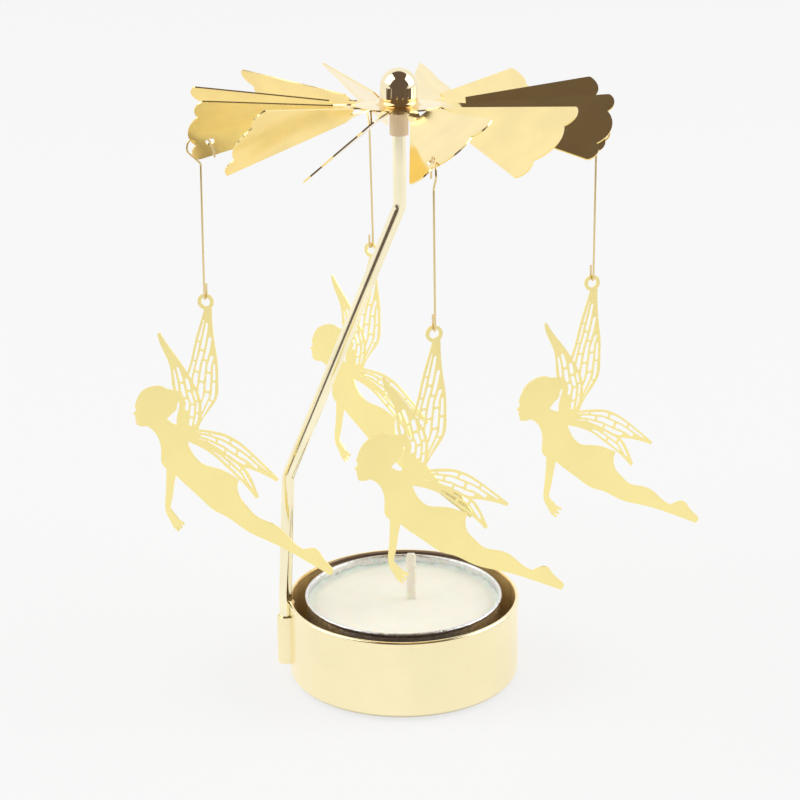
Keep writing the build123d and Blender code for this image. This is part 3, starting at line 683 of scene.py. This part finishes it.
class CAROUSEL_OT_stage(bpy.types.Operator):
    """Set the camera, the floor, the lamps and the surroundings"""

    bl_idname = "carousel.stage"
    bl_label = "Stage"

    def execute(self, context):
        studio = settings("carousel_studio")
        self.camera(context, studio)
        self.floor(context, studio)
        self.lamps(context, studio)
        self.world(context, studio)
        context.scene.view_settings.view_transform = "Standard"
        return {"FINISHED"}

    def camera(self, context, studio):
        """Look down at the carousel from the front, as far away as the photograph was taken."""
        lens = bpy.data.cameras.new("camera")
        lens.sensor_width = studio.sensor / mm
        lens.lens = studio.lens / mm
        lens.clip_start = 0.01
        camera = bpy.data.objects.new("camera", lens)
        context.scene.collection.objects.link(camera)
        forward = np.array([0, np.cos(studio.pitch), -np.sin(studio.pitch)])
        level_right = np.array([1.0, 0, 0])
        level_up = np.cross(level_right, forward)
        right = level_right * np.cos(studio.roll) + level_up * np.sin(studio.roll)
        up = -level_right * np.sin(studio.roll) + level_up * np.cos(studio.roll)
        turn = Matrix(np.stack([right, up, -forward], 1).tolist()).to_4x4()
        camera.matrix_world = Matrix.Translation(studio.camera_place) @ turn
        context.scene.camera = camera

    def floor(self, context, studio):
        """A round floor: rings of points that spread outwards from under the cup."""
        radius = studio.floor_radius * np.linspace(0.02, 1, 24)[:, None] ** 2
        around = np.linspace(0, 2 * np.pi, 96, endpoint=False)
        across = radius * np.cos(around), radius * np.sin(around)
        points = np.stack(np.broadcast_arrays(*across, 0 * radius), -1)
        rows, steps, _ = points.shape
        row, column = np.meshgrid(np.arange(rows - 1), np.arange(steps), indexing="ij")
        after = (column + 1) % steps
        this_row, next_row = row * steps, (row + 1) * steps
        quads = np.stack([this_row + column, next_row + column, next_row + after, this_row + after], -1)
        ring = np.arange(steps)
        fan = np.stack([np.full(steps, rows * steps), ring, (ring + 1) % steps], -1)
        mesh = bpy.data.meshes.new("floor")
        vertices = np.vstack([points.reshape(-1, 3), (0, 0, 0)])
        mesh.from_pydata(vertices.tolist(), [], quads.reshape(-1, 4).tolist() + fan.tolist())
        floor = bpy.data.objects.new("floor", mesh)
        context.scene.collection.objects.link(floor)
        made, tree = material("floor_white")
        white = (studio.floor_white,) * 3 + (1,)
        sees = tree.node("ShaderNodeLightPath", {}, {}, "Is Camera Ray")
        shines = tree.node("ShaderNodeLightPath", {}, {}, "Is Glossy Ray")
        plain = tree.node("ShaderNodeBsdfDiffuse", {}, {"Color": white})
        x, y, _ = tree.parts(tree.place())
        reach = (x * x + y * y) ** 0.5
        in_front = 1 - y.step(-0.2, -0.12)
        past_edge = reach.step(studio.table_reach - 5 * mm, studio.table_reach + 5 * mm) * in_front
        mirrored = tree.mix(past_edge, (studio.mirror_white,) * 3, studio.room_brown)
        shade = tree.mix(shines, (studio.floor_white,) * 3, mirrored)
        glow = tree.node("ShaderNodeEmission", {}, {"Color": shade, "Strength": 1.0})
        seen = sees * studio.floor_glow + shines * (studio.mirror_glow + past_edge * (1 - studio.mirror_glow))
        mixed = tree.node("ShaderNodeMixShader", {}, {0: seen, 1: plain, 2: glow})
        tree.node("ShaderNodeOutputMaterial", {}, {"Surface": mixed})
        mesh.materials.append(made)

    def lamps(self, context, studio):
        """Two large soft lamps, high on the left and on the right."""
        for name, towards in (("lamp_left", studio.left_lamp), ("lamp_right", studio.right_lamp)):
            lamp = bpy.data.lights.new(name, "AREA")
            lamp.energy = studio.lamp_power
            lamp.size = studio.lamp_size
            placed = bpy.data.objects.new(name, lamp)
            context.scene.collection.objects.link(placed)
            away = np.array(towards) / np.linalg.norm(towards)
            level = np.cross([0, 0, 1.0], away)
            level /= np.linalg.norm(level)
            turn = Matrix(np.stack([level, np.cross(away, level), away], 1).tolist()).to_4x4()
            stands = away * studio.lamp_distance + np.array(studio.lamp_target)
            placed.matrix_world = Matrix.Translation(stands.tolist()) @ turn
            placed.visible_camera = False

    def world(self, context, studio):
        """White all round, and a dark room above and behind the camera that only reflections see."""
        world = bpy.data.worlds.new("studio")
        context.scene.world = world
        tree = Tree(world)
        _, y, z = tree.parts(tree.place("Generated"))
        towards_room = z * 0.8 - y * 0.6
        room = towards_room.step(0.36, 0.46)
        shines = tree.node("ShaderNodeLightPath", {}, {}, "Is Glossy Ray")
        white = tree.mix(shines, (studio.floor_white,) * 3, (studio.mirror_white,) * 3)
        shade = tree.mix(room * shines, white, studio.room_brown)
        soft = tree.node("ShaderNodeLightPath", {}, {}, "Is Diffuse Ray")
        strength = 1 - soft * studio.shade_share
        light = tree.node("ShaderNodeBackground", {}, {"Color": shade, "Strength": strength})
        tree.node("ShaderNodeOutputWorld", {}, {"Surface": light})


class CAROUSEL_PT_panel(bpy.types.Panel):
    """The carousel's settings and its operators"""

    bl_label = "Candle carousel"
    bl_idname = "CAROUSEL_PT_panel"
    bl_space_type = "VIEW_3D"
    bl_region_type = "UI"
    bl_category = "Carousel"

    def draw(self, context):
        for group, kind in property_groups.items():
            box = self.layout.box()
            for name in kind.__annotations__:
                box.prop(getattr(context.scene, group), name)
        for operator in operators:
            self.layout.operator(operator.bl_idname)


property_groups = {
    "carousel_tealight": CarouselTealight,
    "carousel_colours": CarouselColours,
    "carousel_studio": CarouselStudio,
}
operators = [
    CAROUSEL_OT_stage,
    CAROUSEL_OT_stand,
    CAROUSEL_OT_fan,
    CAROUSEL_OT_figures,
    CAROUSEL_OT_foil,
    CAROUSEL_OT_wax,
    CAROUSEL_OT_wick,
]


def register():
    """Register the classes and put their settings on the scene."""
    for kind in (*property_groups.values(), *operators, CAROUSEL_PT_panel):
        bpy.utils.register_class(kind)
    for name, kind in property_groups.items():
        setattr(bpy.types.Scene, name, bpy.props.PointerProperty(type=kind))


def unregister():
    """Take the settings and the classes away again."""
    for name in property_groups:
        delattr(bpy.types.Scene, name)
    for kind in reversed((*property_groups.values(), *operators, CAROUSEL_PT_panel)):
        bpy.utils.unregister_class(kind)


def main():
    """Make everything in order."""
    register()
    for operator in operators:
        group, name = operator.bl_idname.split(".")
        getattr(getattr(bpy.ops, group), name)()
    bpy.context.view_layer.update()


if __name__ == "__main__":
    main()
